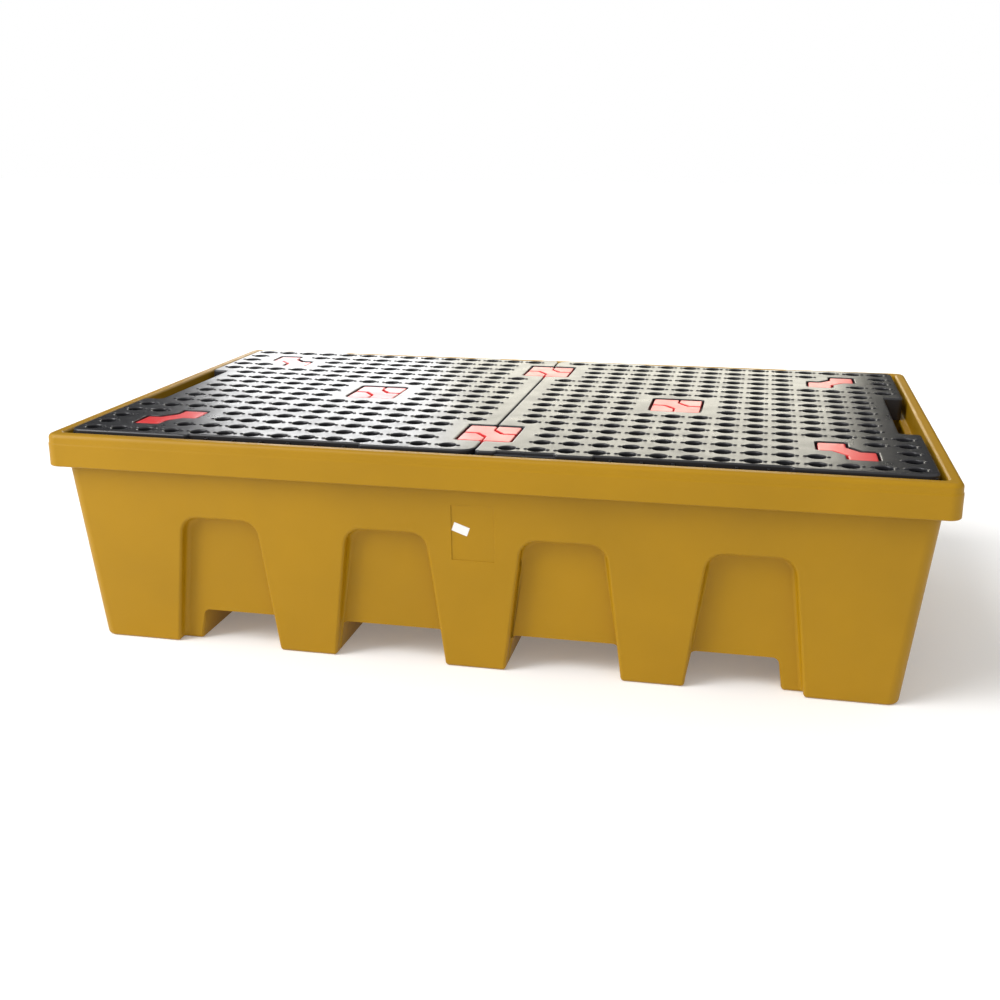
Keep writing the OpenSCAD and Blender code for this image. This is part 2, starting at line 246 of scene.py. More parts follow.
def finished(name, mesh, sharp=40):
    """Makes an object with faces pointing outwards, and shading that keeps large faces flat."""
    work = bmesh.new()
    work.from_mesh(mesh)
    bmesh.ops.triangulate(work, faces=[f for f in work.faces if len(f.verts) > 4])
    bmesh.ops.recalc_face_normals(work, faces=work.faces)
    for face in work.faces:
        face.smooth = True
    for edge in work.edges:
        edge.smooth = not edge.is_manifold or edge.calc_face_angle(0) < math.radians(sharp)
    work.to_mesh(mesh)
    work.free()
    carrier = placed(name + "_draft", mesh)
    flat = carrier.modifiers.new("flat_shading", "WEIGHTED_NORMAL")
    flat.keep_sharp = True
    return placed(name, evaluated(carrier))


# %% [markdown]
# ## Finishes
#
# Four plastics and one paper. Moulded polyethylene is a satin plastic with a fine orange-peel
# surface, faint clouds of lighter and darker colour, and scuffs that change how glossy it is
# rather than its colour. Each finish is a small tree of noise textures read in Object
# coordinates, so the pattern stays fixed on the piece.

# %% Material helper
def plastic(name, colour, roughness, cloud=0.06, peel=0.12, peel_scale=900.0, scuff=0.12,
            specular=0.5, coat=0.0):
    """Satin moulded plastic with colour clouds, orange peel and scuffs."""
    material = bpy.data.materials.new(name)
    material.use_nodes = True
    tree = material.node_tree
    shader = tree.nodes["Principled BSDF"]
    shader.inputs["Specular IOR Level"].default_value = specular
    shader.inputs["Coat Weight"].default_value = coat
    place = tree.nodes.new("ShaderNodeTexCoord").outputs["Object"]

    def noise(scale, detail):
        node = tree.nodes.new("ShaderNodeTexNoise")
        node.inputs["Scale"].default_value = scale
        node.inputs["Detail"].default_value = detail
        tree.links.new(place, node.inputs["Vector"])
        return node.outputs["Fac"]

    def spread(source, low, high):
        node = tree.nodes.new("ShaderNodeMapRange")
        node.inputs["From Min"].default_value = 0.3
        node.inputs["From Max"].default_value = 0.7
        node.inputs["To Min"].default_value = low
        node.inputs["To Max"].default_value = high
        tree.links.new(source, node.inputs["Value"])
        return node.outputs["Result"]

    tint = tree.nodes.new("ShaderNodeMix")
    tint.data_type = "RGBA"
    tint.blend_type = "MIX"
    dark = [c * (1 - cloud) for c in colour] + [1]
    light = [min(1.0, c * (1 + cloud)) for c in colour] + [1]
    tint.inputs["A"].default_value = dark
    tint.inputs["B"].default_value = light
    tree.links.new(spread(noise(3.0, 4.0), 0.0, 1.0), tint.inputs["Factor"])
    tree.links.new(tint.outputs["Result"], shader.inputs["Base Color"])

    shine = spread(noise(14.0, 8.0), roughness * (1 - scuff), roughness * (1 + scuff))
    tree.links.new(shine, shader.inputs["Roughness"])

    bump = tree.nodes.new("ShaderNodeBump")
    bump.inputs["Strength"].default_value = peel
    bump.inputs["Distance"].default_value = 0.0006
    tree.links.new(noise(peel_scale, 2.0), bump.inputs["Height"])
    tree.links.new(bump.outputs["Normal"], shader.inputs["Normal"])
    return material


# %% The finishes
tub_yellow = plastic("tub_yellow_polyethylene", (0.37, 0.195, 0.001), 0.45, specular=0.25)
deck_black = plastic("deck_black_polyethylene", (0.020, 0.020, 0.023), 0.30, peel=0.2)
pillar_black = plastic("pillar_black_polyethylene", (0.028, 0.028, 0.031), 0.45)
clip_red = plastic("clip_red_plastic", (0.72, 0.030, 0.032), 0.32, cloud=0.04)
paper_white = plastic("sticker_paper", (0.82, 0.82, 0.80), 0.65, cloud=0.02, peel=0.05)


def dress(piece, material):
    piece.data.materials.clear()
    piece.data.materials.append(material)


# %% [markdown]
# ## The tub's wall
#
# The wall, the arched recesses and the hollow feet come from the CAD model, which has the true
# shape with sharp edges. A copy of its mesh is merged, cut off under the rim, cleaned to large
# flat faces, and given soft edges with a Bevel modifier. Inward corners get the largest round,
# and the fork openings and the label panel a smaller one. Working on a copy keeps the frame as
# it is.

# %% Cut the wall out of the CAD tub
WALL_CUT = DECK_BASE - 0.017
EDGE_SOFTNESS = 0.014
CONVEX_SOFTNESS = 0.64
LANE_SOFTNESS = 0.32
PANEL_SOFTNESS = 0.05
PANEL_HALF = 0.062
PANEL_LOW = 0.30
PANEL_HIGH = 0.49
LANE_LOW = 0.02
LANE_HIGH = 0.11
FLAT_WITHIN = math.radians(0.6)


def in_label_panel(vertex):
    x, y, z = vertex.co
    return abs(x) < PANEL_HALF and y < 0 and PANEL_LOW < z < PANEL_HIGH


def mark_outer_skin(work):
    """The cut leaves the outer and the inner skin apart; marks the faces of the outer one."""
    mark = work.faces.layers.int.new("outer")
    todo = [min(work.faces, key=lambda face: face.calc_center_median().z)]
    while todo:
        face = todo.pop()
        if face[mark]:
            continue
        face[mark] = 1
        todo += [other for edge in face.edges for other in edge.link_faces if not other[mark]]
    return mark


def softness(edge, mark):
    """How much an edge is rounded: 1 is full, 0 leaves it sharp."""
    middle = (edge.verts[0].co + edge.verts[1].co) / 2
    if edge.calc_face_angle(0) < math.radians(20) or not all(f[mark] for f in edge.link_faces):
        return 0.0
    if middle.z > WALL_CUT - 0.001:
        return 0.0
    if in_label_panel(edge.verts[0]) and in_label_panel(edge.verts[1]):
        return PANEL_SOFTNESS
    along = abs((edge.verts[0].co - edge.verts[1].co).normalized().z)
    roof = any(f.normal.z < -0.2 for f in edge.link_faces)
    if LANE_LOW < middle.z < LANE_HIGH and roof:
        return LANE_SOFTNESS if along < 0.02 else 0.0
    return CONVEX_SOFTNESS if edge.is_convex else 1.0


def tub_wall():
    mesh = nodes["tub"].data.copy()
    work = bmesh.new()
    work.from_mesh(mesh)
    bmesh.ops.remove_doubles(work, verts=work.verts, dist=2e-5)
    everything = work.verts[:] + work.edges[:] + work.faces[:]
    bmesh.ops.bisect_plane(work, geom=everything, plane_co=(0, 0, WALL_CUT),
                           plane_no=(0, 0, 1), clear_outer=True)
    lip = [v for v in work.verts
           if abs(v.co.x) > RIM_X - OVERHANG + 0.01 or abs(v.co.y) > RIM_Y - OVERHANG + 0.01]
    bmesh.ops.delete(work, geom=lip, context="VERTS")
    mark = mark_outer_skin(work)
    bmesh.ops.bridge_loops(work, edges=[e for e in work.edges if e.is_boundary])
    bmesh.ops.dissolve_limit(work, angle_limit=FLAT_WITHIN, verts=work.verts[:],
                             edges=work.edges[:])
    weight = work.edges.layers.float.new("bevel_weight_edge")
    for edge in work.edges:
        edge[weight] = softness(edge, mark)
    print("tub wall:", len(work.faces), "faces before its edges are softened")
    work.to_mesh(mesh)
    work.free()
    made = placed("tub_wall_draft", mesh)
    soften_edges = made.modifiers.new("soft_edges", "BEVEL")
    soften_edges.limit_method = "WEIGHT"
    soften_edges.width = EDGE_SOFTNESS
    soften_edges.segments = 3
    soften_edges.use_clamp_overlap = False
    soften_edges.loop_slide = False
    return finished("tub_wall", evaluated(made))


wall_piece = tub_wall()
dress(wall_piece, tub_yellow)
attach(wall_piece, "tub_body")
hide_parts("tub")
print("tub wall:", len(wall_piece.data.polygons), "faces")

# %% [markdown]
# ## The rim
#
# The rim is one section carried round a rounded rectangle: a down-turned skirt with a soft lower
# lip, a faint step a third of the way down, a rounded top, and on the inside the seat that the
# decks rest on, which also closes the top of the wall. Each point of the section says how far in
# it lies, how high, and how round the plan's corner is there. Joining the loops of neighbouring
# points makes the whole rim.

# %% Section of the rim
LEDGE = DECK_BASE - RIM_TOP
LIP_TOP_RADIUS = 0.013
LIP_INNER_RADIUS = 0.008
SEAT_RADIUS = 0.004
STEP_DOWN = 0.028
STEP_IN = 0.0022


def cornered(points, radius_at):
    """Adds the radius of the plan's corner to each point (depth, height)."""
    return [(d, z, radius_at(d)) for d, z in points]


def rim_section():
    """Points (depth, height, corner radius); depth counts inwards from the rim's face."""
    foot = WALL / 2
    inner = RIM_WIDTH
    seat = RIM_X - DECK_OUT + SEAT_REACH
    under = LEDGE - WALL
    stub = WALL_CUT - RIM_TOP - 0.002
    skirt = arc_points(foot, -RIM_DEPTH + foot, foot, 360, 180, 8)
    skirt += [(0.0003, -0.055), (0.0, -STEP_DOWN - 0.004), (0.0004, -STEP_DOWN)]
    skirt += [(0.0020, -STEP_DOWN + 0.003)]
    skirt += arc_points(STEP_IN + LIP_TOP_RADIUS, -LIP_TOP_RADIUS, LIP_TOP_RADIUS, 180, 90, 6)
    lip = arc_points(inner - LIP_INNER_RADIUS, -LIP_INNER_RADIUS, LIP_INNER_RADIUS, 90, 0, 5)
    soft = SEAT_RADIUS
    ledge = arc_points(inner + soft, LEDGE + soft, soft, 180, 270, 4)
    ledge += arc_points(seat - soft, LEDGE - soft, soft, 90, 0, 4) + [(seat, under)]
    wall_in = OVERHANG + WALL - 0.0004
    wall_out = OVERHANG - 0.0024
    wall_top = [(wall_in, under), (wall_in, stub), (wall_out, stub), (wall_out, under)]
    collar = [(inner - WALL, under), (inner - WALL, -WALL)]
    points = cornered(skirt, lambda d: RIM_RADIUS - d)
    points += cornered(lip + ledge, lambda d: OPENING_RADIUS + max(0.0, inner - d))
    points += cornered(wall_top, lambda d: BODY_RADIUS if d < OVERHANG else BODY_RADIUS - WALL)
    points += cornered(collar, lambda d: OPENING_RADIUS + WALL)
    return points + [(WALL, -WALL, RIM_RADIUS - WALL)]


def tub_rim():
    shell = Shell()
    rows = []
    for d, z, radius in rim_section():
        outline = rounded_rect(RIM_X - d, RIM_Y - d, radius, steps=12)
        rows.append(shell.loop(outline, RIM_TOP + z))
    for a, b in zip(rows, rows[1:] + rows[:1]):
        shell.strip(a, b)
    return shell.build("tub_rim")


rim_piece = tub_rim()
dress(rim_piece, tub_yellow)
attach(rim_piece, "tub_body")
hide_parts("tub")
print("rim:", len(rim_piece.data.polygons), "faces")

# %% [markdown]
# ## The deck's outline and its hole pattern
#
# Each deck is drawn once, on the right, and turned half a turn for the left. Its outline has a
# hand notch in the short edge, a shallow notch in each long edge, and two bites at the seam that
# take half of each joint clip. The drain holes sit on a square grid, and a few are left out
# where a clip or a notch needs the room.

# %% Deck layout
HOLE_PITCH = 0.080
HOLE_RADIUS = 0.023
FIRST_COLUMN = 0.0814
COLUMNS = 14
HALF_ROWS = 8
CLIP_ROW = HALF_ROWS - 2
CORNER_COLUMN = COLUMNS - 3
CENTRE_COLUMN = 5
CLIP_Y = CLIP_ROW * HOLE_PITCH
PAD_X = 0.074
PAD_Y = 0.088
CLIP_GAP = 0.006
HAND_NOTCH = 0.058
HAND_HALF = 0.248
EDGE_NOTCH = 0.014
EDGE_START = 0.318
EDGE_STOP = 0.815
REBATE_START = 0.060
REBATE_STOP = 0.215
REBATE_WIDTH = 0.014
REBATE_SINK = 0.008


def column_x(column):
    return FIRST_COLUMN + column * HOLE_PITCH


def has_hole(column, row):
    if column == 0 and abs(abs(row) - CLIP_ROW) <= 1:
        return False
    if abs(column - CENTRE_COLUMN) <= 1 and abs(row) <= 1:
        return False
    dc, dr = column - CORNER_COLUMN, abs(row) - CLIP_ROW
    if abs(dc) <= 1 and abs(dr) <= 1 and abs(dc - dr) < 2:
        return False
    return not (column == COLUMNS - 1 and abs(row) <= 3)


grid = [(c, r) for c in range(COLUMNS) for r in range(-HALF_ROWS, HALF_ROWS + 1)]
hole_places = [(column_x(c), r * HOLE_PITCH) for c, r in grid if has_hole(c, r)]
print("drain holes in one deck:", len(hole_places))


def deck_outline():
    bite_x = PAD_X + CLIP_GAP
    bite = PAD_Y + CLIP_GAP
    front = [
        (DECK_IN, -DECK_Y, 0.015), (REBATE_START, -DECK_Y, 0.010),
        (REBATE_START, -DECK_Y + REBATE_WIDTH, 0.004), (REBATE_STOP, -DECK_Y + REBATE_WIDTH, 0.004),
        (REBATE_STOP, -DECK_Y, 0.010), (EDGE_START, -DECK_Y, 0.010),
        (EDGE_START, -DECK_Y + EDGE_NOTCH, 0.004), (EDGE_STOP, -DECK_Y + EDGE_NOTCH, 0.004),
        (EDGE_STOP, -DECK_Y, 0.010), (DECK_OUT, -DECK_Y, 0.030),
    ]
    short = [
        (DECK_OUT, -HAND_HALF, 0.014), (DECK_OUT - HAND_NOTCH, -HAND_HALF, 0.014),
        (DECK_OUT - HAND_NOTCH, HAND_HALF, 0.014), (DECK_OUT, HAND_HALF, 0.014),
    ]
    rear = [
        (DECK_OUT, DECK_Y, 0.030), (EDGE_STOP, DECK_Y, 0.010),
        (EDGE_STOP, DECK_Y - EDGE_NOTCH, 0.004), (EDGE_START, DECK_Y - EDGE_NOTCH, 0.004),
        (EDGE_START, DECK_Y, 0.010), (DECK_IN, DECK_Y, 0.040),
    ]
    seam = []
    for side in (1, -1):
        for edge in (bite, -bite):
            y = side * CLIP_Y + edge
            pair = [(DECK_IN, y, 0.010), (bite_x, y, 0.006)]
            seam += pair if edge > 0 else pair[::-1]
    return soften(front + short + rear + seam)


# %% [markdown]
# ## The clips' outlines
#
# A corner clip is two pads that touch at one corner, joined by a slanting neck. A square clip
# has the same slanting band, and two more pads fill the corners beside it. Working both out
# from one pad size keeps them a family, and the pockets are the same outlines with a gap.

# %% Clip outlines
NECK_X = 0.036
NECK_Y = 0.044


def diagonal_corners(radius=0.007, hollow=0.009):
    """Corners of the two pads and the neck; hollow is the radius beside the neck."""
    half = [(PAD_X, 0, radius), (PAD_X, PAD_Y, radius), (0, PAD_Y, radius),
            (0, NECK_Y, hollow), (-NECK_X, 0, hollow)]
    return half + [(-x, -y, r) for x, y, r in half]


def square_corners(radius=0.008):
    return [(PAD_X, -PAD_Y, radius), (PAD_X, PAD_Y, radius),
            (-PAD_X, PAD_Y, radius), (-PAD_X, -PAD_Y, radius)]


def pocket_outlines():
    """The centre pocket and the two corner pockets of the deck on the right."""
    square = inset(soften(square_corners(0.010)), -CLIP_GAP)
    slanted = inset(soften(diagonal_corners(0.006, 0.020)), -CLIP_GAP)
    return [
        moved(square, column_x(CENTRE_COLUMN), 0),
        moved(slanted, column_x(CORNER_COLUMN), CLIP_Y),
        moved(flipped(slanted, 1, -1), column_x(CORNER_COLUMN), -CLIP_Y),
    ]


# %% [markdown]
# ## The decks
#
# A deck is a plate with a turned-down edge. The plate is one closed skin: the top sheet is
# triangulated round every drain hole and pocket, each hole gets a rounded lip and a straight
# bore, and the underside closes it. Trays close the pockets' floors, and a step fills the finger
# rebate. The ribs under the plate and the small grip nibs beside the holes repeat by the hundred,
# so Geometry Nodes place them.

# %% The plate
DECK_EDGE = 0.008
LIP = 0.0040
PLATE = 0.010
EDGE_RADIUS = 0.0052
POCKET_DEPTH = 0.017
POCKET_FLOOR = 0.010
COLLAR = 0.008
HOLE_STEPS = 32
TRAY_OVERLAP = 0.002
STEP_OVERLAP = 0.004


def deck_plate(side):
    """The deck's skin; side is 1 for the right deck and -1 for the left one."""
    turn = (lambda loop: loop) if side > 0 else turned
    shell = Shell()
    under = DECK_TOP - PLATE
    outline = turn(deck_outline())
    edge = rounding(EDGE_RADIUS, DECK_TOP) + [(0.0, DECK_BASE + 0.002), (0.0015, DECK_BASE)]
    edge += [(DECK_EDGE - 0.0015, DECK_BASE), (DECK_EDGE, DECK_BASE + 0.0015), (DECK_EDGE, under)]
    top_rim, under_rim = shell.stack(outline, edge)
    top_holes, under_holes = [], []
    well = [(-LIP * (1 - math.sin(a)), DECK_TOP - LIP * (1 - math.cos(a)))
            for a in np.radians(np.linspace(0, 90, 5))] + [(0.0, under)]
    circle = arc_points(0, 0, HOLE_RADIUS, 0, 360, HOLE_STEPS)[:-1]
    for x, y in hole_places:
        first, last = shell.stack(moved(circle, x * side, y * side), well)
        top_holes.append(first)
        under_holes.append(last)
    floor = DECK_TOP - POCKET_DEPTH - POCKET_FLOOR
    pocket = [(-d, z) for d, z in rounding(0.003, DECK_TOP, 3)]
    pocket += [(0.0, floor), (-COLLAR, floor), (-COLLAR, under)]
    for loop in pocket_outlines():
        first, last = shell.stack(turn(loop), pocket)
        top_holes.append(first)
        under_holes.append(last)
    shell.sheet(top_rim, top_holes)
    shell.sheet(under_rim, under_holes)
    for loop in pocket_outlines():
        shell.closed(turn(inset(loop, -TRAY_OVERLAP)),
                     [(0, DECK_TOP - POCKET_DEPTH), (0, floor + 0.0005)])
    bite_x = PAD_X + CLIP_GAP + TRAY_OVERLAP
    bite = PAD_Y + CLIP_GAP + TRAY_OVERLAP
    for y in (CLIP_Y, -CLIP_Y):
        tray = soften([(bite_x, y - bite, 0.004), (bite_x, y + bite, 0.004),
                       (DECK_IN, y + bite, 0.001), (DECK_IN, y - bite, 0.001)])
        shell.closed(turn(tray), [(0, DECK_TOP - POCKET_DEPTH), (0, floor + 0.0005)])
    x0, x1 = REBATE_START - STEP_OVERLAP, REBATE_STOP + STEP_OVERLAP
    y0, y1 = -DECK_Y + 0.0004, -DECK_Y + REBATE_WIDTH + STEP_OVERLAP
    step = soften([(x1, y0, 0.002), (x1, y1, 0.002), (x0, y1, 0.002), (x0, y0, 0.002)], 2)
    step_top = DECK_TOP - REBATE_SINK
    shell.closed(turn(step), [(0.0015, step_top), (0, step_top - 0.0015), (0, DECK_BASE + 0.0005)])
    return shell


# %% Points for the ribs and the nibs
RIB = 0.008
NIB_OFFSET = 0.0300
NIB_RADIUS = 0.0060


def rib_places(side):
    """Middles of the rib pieces under a deck, with a turn of 0 or 90 degrees."""
    places = []
    limit_x = DECK_OUT - DECK_EDGE
    limit_y = DECK_Y - EDGE_NOTCH - DECK_EDGE
    clips = [(column_x(CENTRE_COLUMN), 0)]
    clips += [(x, s * CLIP_Y) for x in (column_x(CORNER_COLUMN), FIRST_COLUMN) for s in (1, -1)]

    def free(x, y):
        if x > DECK_OUT - HAND_NOTCH - 0.02 and abs(y) < HAND_HALF + 0.02:
            return False
        reach = HOLE_PITCH * 1.4
        return all(abs(x - cx) > reach or abs(y - cy) > reach for cx, cy in clips)

    for column in range(COLUMNS):
        for row in range(-HALF_ROWS, HALF_ROWS + 1):
            x, y = column_x(column), row * HOLE_PITCH
            right, rear = x + HOLE_PITCH / 2, y + HOLE_PITCH / 2
            if right < limit_x and free(right, y):
                places.append((right * side, y * side, 1.0))
            if rear < limit_y and free(x, rear):
                places.append((x * side, rear * side, 0.0))
    return places


def nib_places(side):
    return [((x + s * NIB_OFFSET) * side, y * side, 0.0) for x, y in hole_places for s in (-1, 1)]


# %% Geometry Nodes that place one shape at many points
def place_copies(name, places, pattern, height, material):
    """Puts a copy of pattern at each (x, y, quarter turns), and gives one plain mesh object."""
    cloud = bpy.data.meshes.new(name + "_points")
    cloud.from_pydata([(x, y, 0.0) for x, y, _ in places], [], [])
    quarter = cloud.attributes.new("quarter", "FLOAT", "POINT")
    quarter.data.foreach_set("value", [turn for _, _, turn in places])
    carrier = placed(name, cloud)

    tree = bpy.data.node_groups.new(name + "_nodes", "GeometryNodeTree")
    tree.interface.new_socket("Points", in_out="INPUT", socket_type="NodeSocketGeometry")
    pattern_in = tree.interface.new_socket("Pattern", in_out="INPUT", socket_type="NodeSocketObject")
    height_in = tree.interface.new_socket("Height", in_out="INPUT", socket_type="NodeSocketFloat")
    finish_in = tree.interface.new_socket("Finish", in_out="INPUT", socket_type="NodeSocketMaterial")
    tree.interface.new_socket("Copies", in_out="OUTPUT", socket_type="NodeSocketGeometry")
    group_in = tree.nodes.new("NodeGroupInput")
    group_out = tree.nodes.new("NodeGroupOutput")
    lift = tree.nodes.new("GeometryNodeSetPosition")
    offset = tree.nodes.new("ShaderNodeCombineXYZ")
    named = tree.nodes.new("GeometryNodeInputNamedAttribute")
    named.data_type = "FLOAT"
    named.inputs["Name"].default_value = "quarter"
    angle = tree.nodes.new("ShaderNodeMath")
    angle.operation = "MULTIPLY"
    angle.inputs[1].default_value = math.pi / 2
    spin = tree.nodes.new("ShaderNodeCombineXYZ")
    source = tree.nodes.new("GeometryNodeObjectInfo")
    copies = tree.nodes.new("GeometryNodeInstanceOnPoints")
    real = tree.nodes.new("GeometryNodeRealizeInstances")
    finish = tree.nodes.new("GeometryNodeSetMaterial")
    link = tree.links.new
    link(group_in.outputs["Points"], lift.inputs["Geometry"])
    link(group_in.outputs["Height"], offset.inputs["Z"])
    link(offset.outputs["Vector"], lift.inputs["Offset"])
    link(lift.outputs["Geometry"], copies.inputs["Points"])
    link(group_in.outputs["Pattern"], source.inputs["Object"])
    link(source.outputs["Geometry"], copies.inputs["Instance"])
    link(named.outputs["Attribute"], angle.inputs[0])
    link(angle.outputs["Value"], spin.inputs["Z"])
    link(spin.outputs["Vector"], copies.inputs["Rotation"])
    link(copies.outputs["Instances"], real.inputs["Geometry"])
    link(real.outputs["Geometry"], finish.inputs["Geometry"])
    link(group_in.outputs["Finish"], finish.inputs["Material"])
    link(finish.outputs["Geometry"], group_out.inputs["Copies"])

    modifier = carrier.modifiers.new("copies", "NODES")
    modifier.node_group = tree
    modifier[pattern_in.identifier] = pattern
    modifier[height_in.identifier] = height
    modifier[finish_in.identifier] = material
    plain = evaluated(carrier)
    bpy.data.objects.remove(pattern)
    return plain


# %% One rib piece and one nib
def rib_pattern():
    """A slat along X, hanging down from z = 0, with a rounded lower edge."""
    length = HOLE_PITCH / 2 + RIB / 2 - 0.0001
    depth = DECK_TOP - PLATE - DECK_BASE - 0.001
    shell = Shell()
    outline = soften([(length, -RIB / 2, 0.0025), (length, RIB / 2, 0.0025),
                      (-length, RIB / 2, 0.0025), (-length, -RIB / 2, 0.0025)], 1)
    shell.closed(outline, [(0.0, 0.001), (0.0, -depth + 0.002), (0.002, -depth)])
    return shell.build("rib_pattern")


def nib_pattern():
    """A low round nib that stands on z = 0."""
    shell = Shell()
    outline = arc_points(0, 0, NIB_RADIUS, 0, 360, 12)[:-1]
    shell.closed(outline, [(0.0042, 0.0026), (0.0020, 0.0021), (0.0004, 0.0009), (0.0, -0.0045)])
    return shell.build("nib_pattern")


def joined(name, meshes):
    """One mesh from several that don't share points."""
    work = bmesh.new()
    for mesh in meshes:
        work.from_mesh(mesh)
    whole = bpy.data.meshes.new(name)
    work.to_mesh(whole)
    work.free()
    return whole


# %% Build both decks
for side, word in ((1, "right"), (-1, "left")):
    skin = deck_plate(side)
    plate = bpy.data.meshes.new("plate")
    plate.from_pydata(skin.points, [], skin.faces)
    ribs = place_copies("ribs", rib_places(side), rib_pattern(), DECK_TOP - PLATE, deck_black)
    nibs = place_copies("nibs", nib_places(side), nib_pattern(), DECK_TOP, deck_black)
    deck = finished("deck_%s_panel" % word, joined("deck", [plate, ribs, nibs]))
    dress(deck, deck_black)
    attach(deck, "deck_%s_body" % word)
    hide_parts("deck_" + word)
    print(word, "deck:", len(deck.data.polygons), "faces")

# %% [markdown]
# ## The clips
#
# Each clip is a plate with two prongs below it. On a square clip the top is split by two
# grooves into a slanting band and two loose-looking pads, so three cushions with rounded edges
# stand on a thin base. A corner clip has only the band.

# %% Clip shapes
CLIP_HEIGHT = 0.015
CLIP_BASE = 0.006
GROOVE = 0.005
CUSHION = 0.004
PRONG_X = 0.010
PRONG_Y = 0.006
PRONG_LENGTH = 0.048
SQUARE_PRONGS = ((0.026, 0.0), (-0.026, 0.0))
CORNER_PRONGS = ((0.017, 0.024), (-0.017, -0.024))


def add_prongs(shell, places, seat):
    for x, y in places:
        outline = moved(soften([(PRONG_X, -PRONG_Y, 0.003), (PRONG_X, PRONG_Y, 0.003),
                                (-PRONG_X, PRONG_Y, 0.003), (-PRONG_X, -PRONG_Y, 0.003)], 2), *seat)
        outline = moved(outline, x, y)
        low = POCKET_SEAT - PRONG_LENGTH
        shell.closed(outline, [(0.0, POCKET_SEAT + 0.001), (0.0, low + 0.008), (0.0025, low)])


def cushion_levels(low):
    top = POCKET_SEAT + CLIP_HEIGHT
    return rounding(CUSHION, top) + [(0.0, low + 0.001), (0.001, low)]


def slanting_band():
    """The band of a square clip: upper left pad, neck and lower right pad."""
    gap = GROOVE / 2
    half = [(PAD_X, -gap), (NECK_X * 0.9, -gap), (gap, NECK_Y * 0.9), (gap, PAD_Y), (-PAD_X, PAD_Y)]
    corners = half + [(-x, -y) for x, y in half]
    return soften([(x, y, 0.006) for x, y in corners])


def loose_pad():
    gap = GROOVE / 2
    corners = [(PAD_X, gap), (PAD_X, PAD_Y), (gap * 2.2, PAD_Y), (gap * 2.2, NECK_Y + gap),
               (NECK_X + gap, gap)]
    return soften([(x, y, 0.006) for x, y in corners])


POCKET_SEAT = DECK_TOP - POCKET_DEPTH


def square_clip(name, x, y):
    shell = Shell()
    base = POCKET_SEAT + CLIP_BASE
    shell.closed(moved(inset(soften(square_corners()), 0.0015), x, y),
                 [(0.001, base + 0.001), (0.0, base), (0.0, POCKET_SEAT)])
    for outline in (slanting_band(), loose_pad(), turned(loose_pad())):
        shell.closed(moved(outline, x, y), cushion_levels(POCKET_SEAT))
    add_prongs(shell, SQUARE_PRONGS, (x, y))
    return shell.build(name)


def corner_clip(name, x, y):
    sx, sy = math.copysign(1, x), math.copysign(1, y)
    shell = Shell()
    outline = flipped(soften(diagonal_corners()), sx, sy)
    shell.closed(moved(outline, x, y), cushion_levels(POCKET_SEAT))
    add_prongs(shell, [(px * sx, py * sy) for px, py in CORNER_PRONGS], (x, y))
    return shell.build(name)


# %% Build the clips
for name in sorted(nodes):
    if "clip" not in name:
        continue
    low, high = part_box(name)
    x, y = (low[0] + high[0]) / 2, (low[1] + high[1]) / 2
    make = corner_clip if name.startswith("corner") else square_clip
    clip = make(name + "_moulding", x, y)
    dress(clip, clip_red)
    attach(clip, name + "_body")
    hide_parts(name)
    print(name, "at", round(x, 4), round(y, 4))

# %% [markdown]
# ## Pillars and sticker
#
# The pillars inside the tub and the paper sticker keep their CAD shape, because a plain round
# tube and a flat sheet are what they are, and only get a finish.

# %% Pillars and sticker
for name, node in nodes.items():
    if "pillar" in name:
        dress(node, pillar_black)
dress(nodes["label_sticker"], paper_white)

# %% [markdown]
# ## Floor, light and camera
#
# A plain pale floor and soft lights. The floor glows a little, which keeps it neutral beside the
# yellow tub. The black decks show mostly reflections at this low angle, so two bright panels
# stand behind the object, a white one on the left and a warm one on the right, and give the
# broad glare on them.

# %% Floor
def stage_plane(name, half, z, colour, glow):
    mesh = bpy.data.meshes.new(name)
    corners = [(-half, -half, z), (half, -half, z), (half, half, z), (-half, half, z)]
    mesh.from_pydata(corners, [], [(0, 1, 2, 3)])
    made = placed(name, mesh)
    material = bpy.data.materials.new(name)
    material.use_nodes = True
    shader = material.node_tree.nodes["Principled BSDF"]
    shader.inputs["Base Color"].default_value = (*colour, 1)
    shader.inputs["Roughness"].default_value = 0.9
    shader.inputs["Specular IOR Level"].default_value = 0.0
    shader.inputs["Emission Color"].default_value = (1, 1, 1, 1)
    shader.inputs["Emission Strength"].default_value = glow
    made.data.materials.append(material)
    return made


stage_plane("floor", 40.0, 0.0, (0.86, 0.86, 0.86), 0.17)


# %% Lights
def area_light(name, place, target, size_x, size_y, power, colour=(1, 1, 1)):
    lamp = bpy.data.lights.new(name, "AREA")
    lamp.shape = "RECTANGLE"
    lamp.size = size_x
    lamp.size_y = size_y
    lamp.energy = power
    lamp.color = colour
    made = bpy.data.objects.new(name, lamp)
    made.location = place
    made.rotation_euler = (Vector(target) - Vector(place)).to_track_quat("-Z", "Y").to_euler()
    bpy.context.scene.collection.objects.link(made)
    return made


# %% Lamps and sky
SKY_TOWARD = (0.0, -0.6, 0.75)
SUN_DIRECTION = (0.75, 0.45, -1.0)
PANEL_DISTANCE = 6.0
PANEL_MIDDLE = 2.1
PANEL_HEIGHT = 2.4


def back_panel(name, x0, x1, glow, colour):
    """Upright bright panel behind the object, from x0 to x1, with the given radiance."""
    width = x1 - x0
    power = glow * math.pi * width * PANEL_HEIGHT
    place = ((x0 + x1) / 2, PANEL_DISTANCE, PANEL_MIDDLE)
    return area_light(name, place, (place[0], 0, PANEL_MIDDLE), width, PANEL_HEIGHT, power, colour)


back_panel("panel_bright", -3.94, -1.83, 5.0, (1, 1, 1))
back_panel("panel_warm", -1.83, 1.42, 3.5, (1.0, 0.96, 0.82))

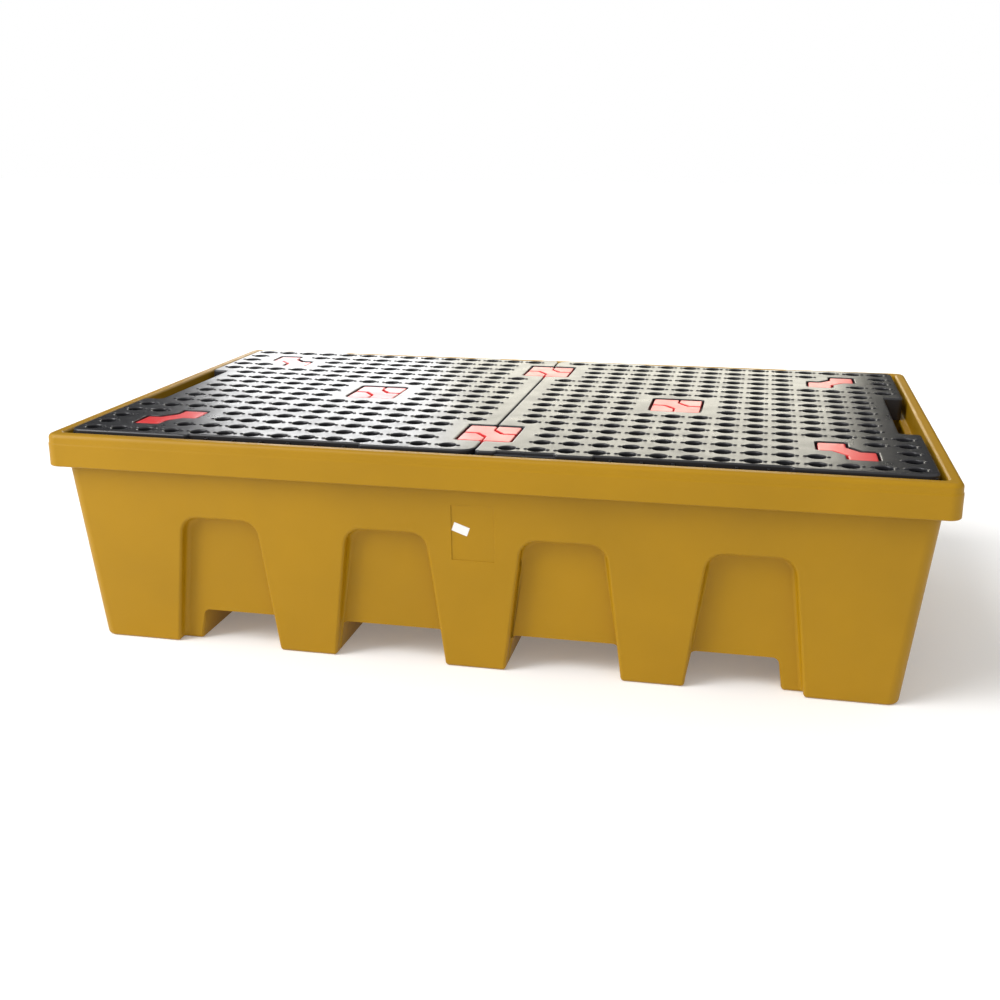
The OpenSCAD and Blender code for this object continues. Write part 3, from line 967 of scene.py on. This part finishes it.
area_light("left_fill", (-3.2, -2.6, 1.6), (-0.9, -0.7, 0.3), 1.2, 1.2, 42.0)

sun = bpy.data.lights.new("soft_sun", "SUN")
sun.energy = 1.9
sun.angle = math.radians(35)
sun_object = bpy.data.objects.new("soft_sun", sun)
sun_object.rotation_euler = Vector(SUN_DIRECTION).to_track_quat("-Z", "Y").to_euler()
bpy.context.scene.collection.objects.link(sun_object)


def studio_sky():
    """White to the camera; as a light it is bright in front and above and dark low behind."""
    world = bpy.data.worlds.new("studio")
    world.use_nodes = True
    tree = world.node_tree
    light = tree.nodes["Background"]
    output = tree.nodes["World Output"]
    link = tree.links.new
    direction = tree.nodes.new("ShaderNodeTexCoord").outputs["Generated"]
    toward = tree.nodes.new("ShaderNodeVectorMath")
    toward.operation = "DOT_PRODUCT"
    toward.inputs[1].default_value = SKY_TOWARD
    link(direction, toward.inputs[0])
    ramp = tree.nodes.new("ShaderNodeMapRange")
    ramp.interpolation_type = "SMOOTHSTEP"
    levels = {"From Min": -0.25, "From Max": 0.25, "To Min": 0.03, "To Max": 0.66}
    for socket, value in levels.items():
        ramp.inputs[socket].default_value = value
    link(toward.outputs["Value"], ramp.inputs["Value"])
    link(ramp.outputs["Result"], light.inputs["Strength"])
    light.inputs["Color"].default_value = (1, 1, 1, 1)
    backdrop = tree.nodes.new("ShaderNodeBackground")
    backdrop.inputs["Color"].default_value = (1, 1, 1, 1)
    seen = tree.nodes.new("ShaderNodeLightPath")
    either = tree.nodes.new("ShaderNodeMixShader")
    link(seen.outputs["Is Camera Ray"], either.inputs["Fac"])
    link(light.outputs["Background"], either.inputs[1])
    link(backdrop.outputs["Background"], either.inputs[2])
    link(either.outputs["Shader"], output.inputs["Surface"])
    return world


bpy.context.scene.world = studio_sky()
bpy.context.scene.view_settings.view_transform = "Standard"

# %% Camera
CAMERA_PLACE = (0.719, -3.686, 1.408)
CAMERA_YAW = 12.34
CAMERA_PITCH = 16.43
FOCAL_LENGTH = 43.54
camera_data = bpy.data.cameras.new("camera")
camera_data.lens = FOCAL_LENGTH
camera_data.sensor_width = 36.0
camera_data.shift_x = 0.0038
camera_data.shift_y = -0.0027
camera = bpy.data.objects.new("camera", camera_data)
camera.location = CAMERA_PLACE
camera.rotation_euler = (math.radians(90 - CAMERA_PITCH), 0, math.radians(CAMERA_YAW))
bpy.context.scene.collection.objects.link(camera)
bpy.context.scene.camera = camera
